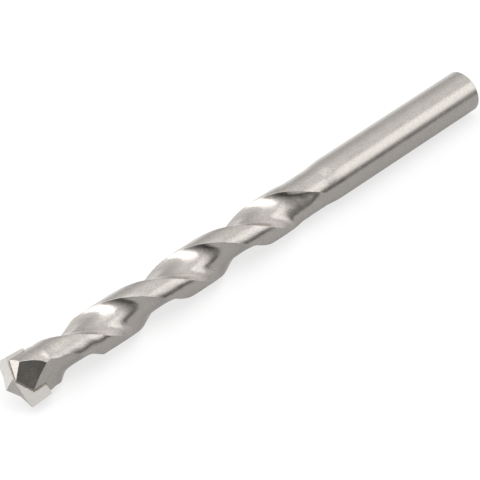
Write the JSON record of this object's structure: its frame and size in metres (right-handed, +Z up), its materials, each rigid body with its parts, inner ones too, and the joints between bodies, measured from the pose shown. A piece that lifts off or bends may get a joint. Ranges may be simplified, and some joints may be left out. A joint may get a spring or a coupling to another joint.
{
  "type": "masonry drill bit",
  "caption": "Straight-shank masonry drill bit with two helical flutes and a carbide plate brazed across its slotted head.",
  "frame": {"origin": "centre of the shank's end face", "axes": "+X along the bit's axis from the cutting tip towards the shank's end, +Z up with the bit lying on its side"},
  "size_m": [0.12, 0.0094, 0.0088],
  "materials": {
    "steel": "satin, blasted",
    "carbide": "fine matte, ground",
    "braze": "matte"
  },
  "bodies": {
    "root": {"steel_body": "steel", "carbide_plate": "carbide", "braze_seam": "braze"}
  },
  "joints": []
}
